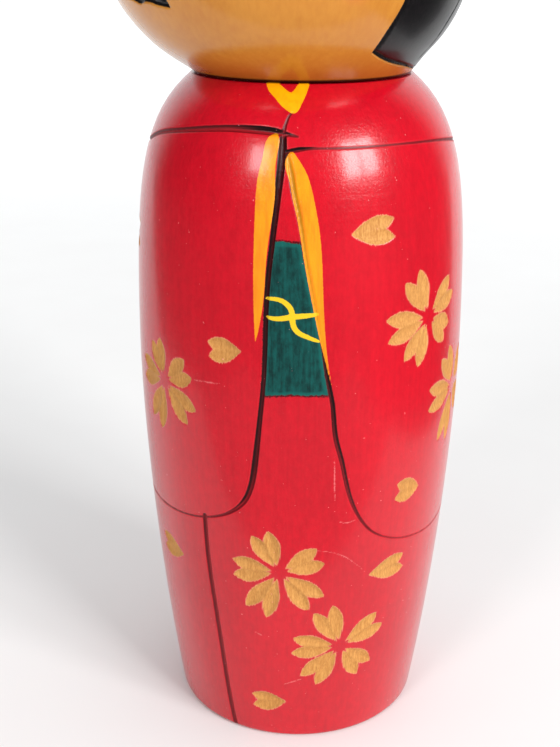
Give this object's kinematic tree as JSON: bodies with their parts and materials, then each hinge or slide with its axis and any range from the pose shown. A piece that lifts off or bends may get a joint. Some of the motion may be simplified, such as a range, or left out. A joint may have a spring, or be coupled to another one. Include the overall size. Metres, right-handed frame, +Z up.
{
  "type": "kokeshi doll",
  "caption": "Turned wooden doll with a red lacquered, carved kimono body and a round painted head that leans and turns on a neck dowel.",
  "frame": {"origin": "centre of the flat base, on the surface that the doll stands on", "axes": "+Z up along the body's turned axis and the head's turning axis, -Y towards the doll's front, +X to the viewer's right when facing the doll"},
  "size_m": [0.0767, 0.0752, 0.2005],
  "materials": {
    "body_lacquer": "gloss",
    "head_lacquer": "gloss",
    "bare_wood": "matte"
  },
  "bodies": {
    "body": {"body": "body_lacquer"},
    "head": {"head": "head_lacquer", "neck_dowel": "bare_wood"}
  },
  "joints": [
    {"name": "head_turn", "type": "hinge", "parent": "body", "child": "head", "pos_m": [0, 0, 0.145], "axis": [0, 0, 1], "continuous": true}
  ]
}
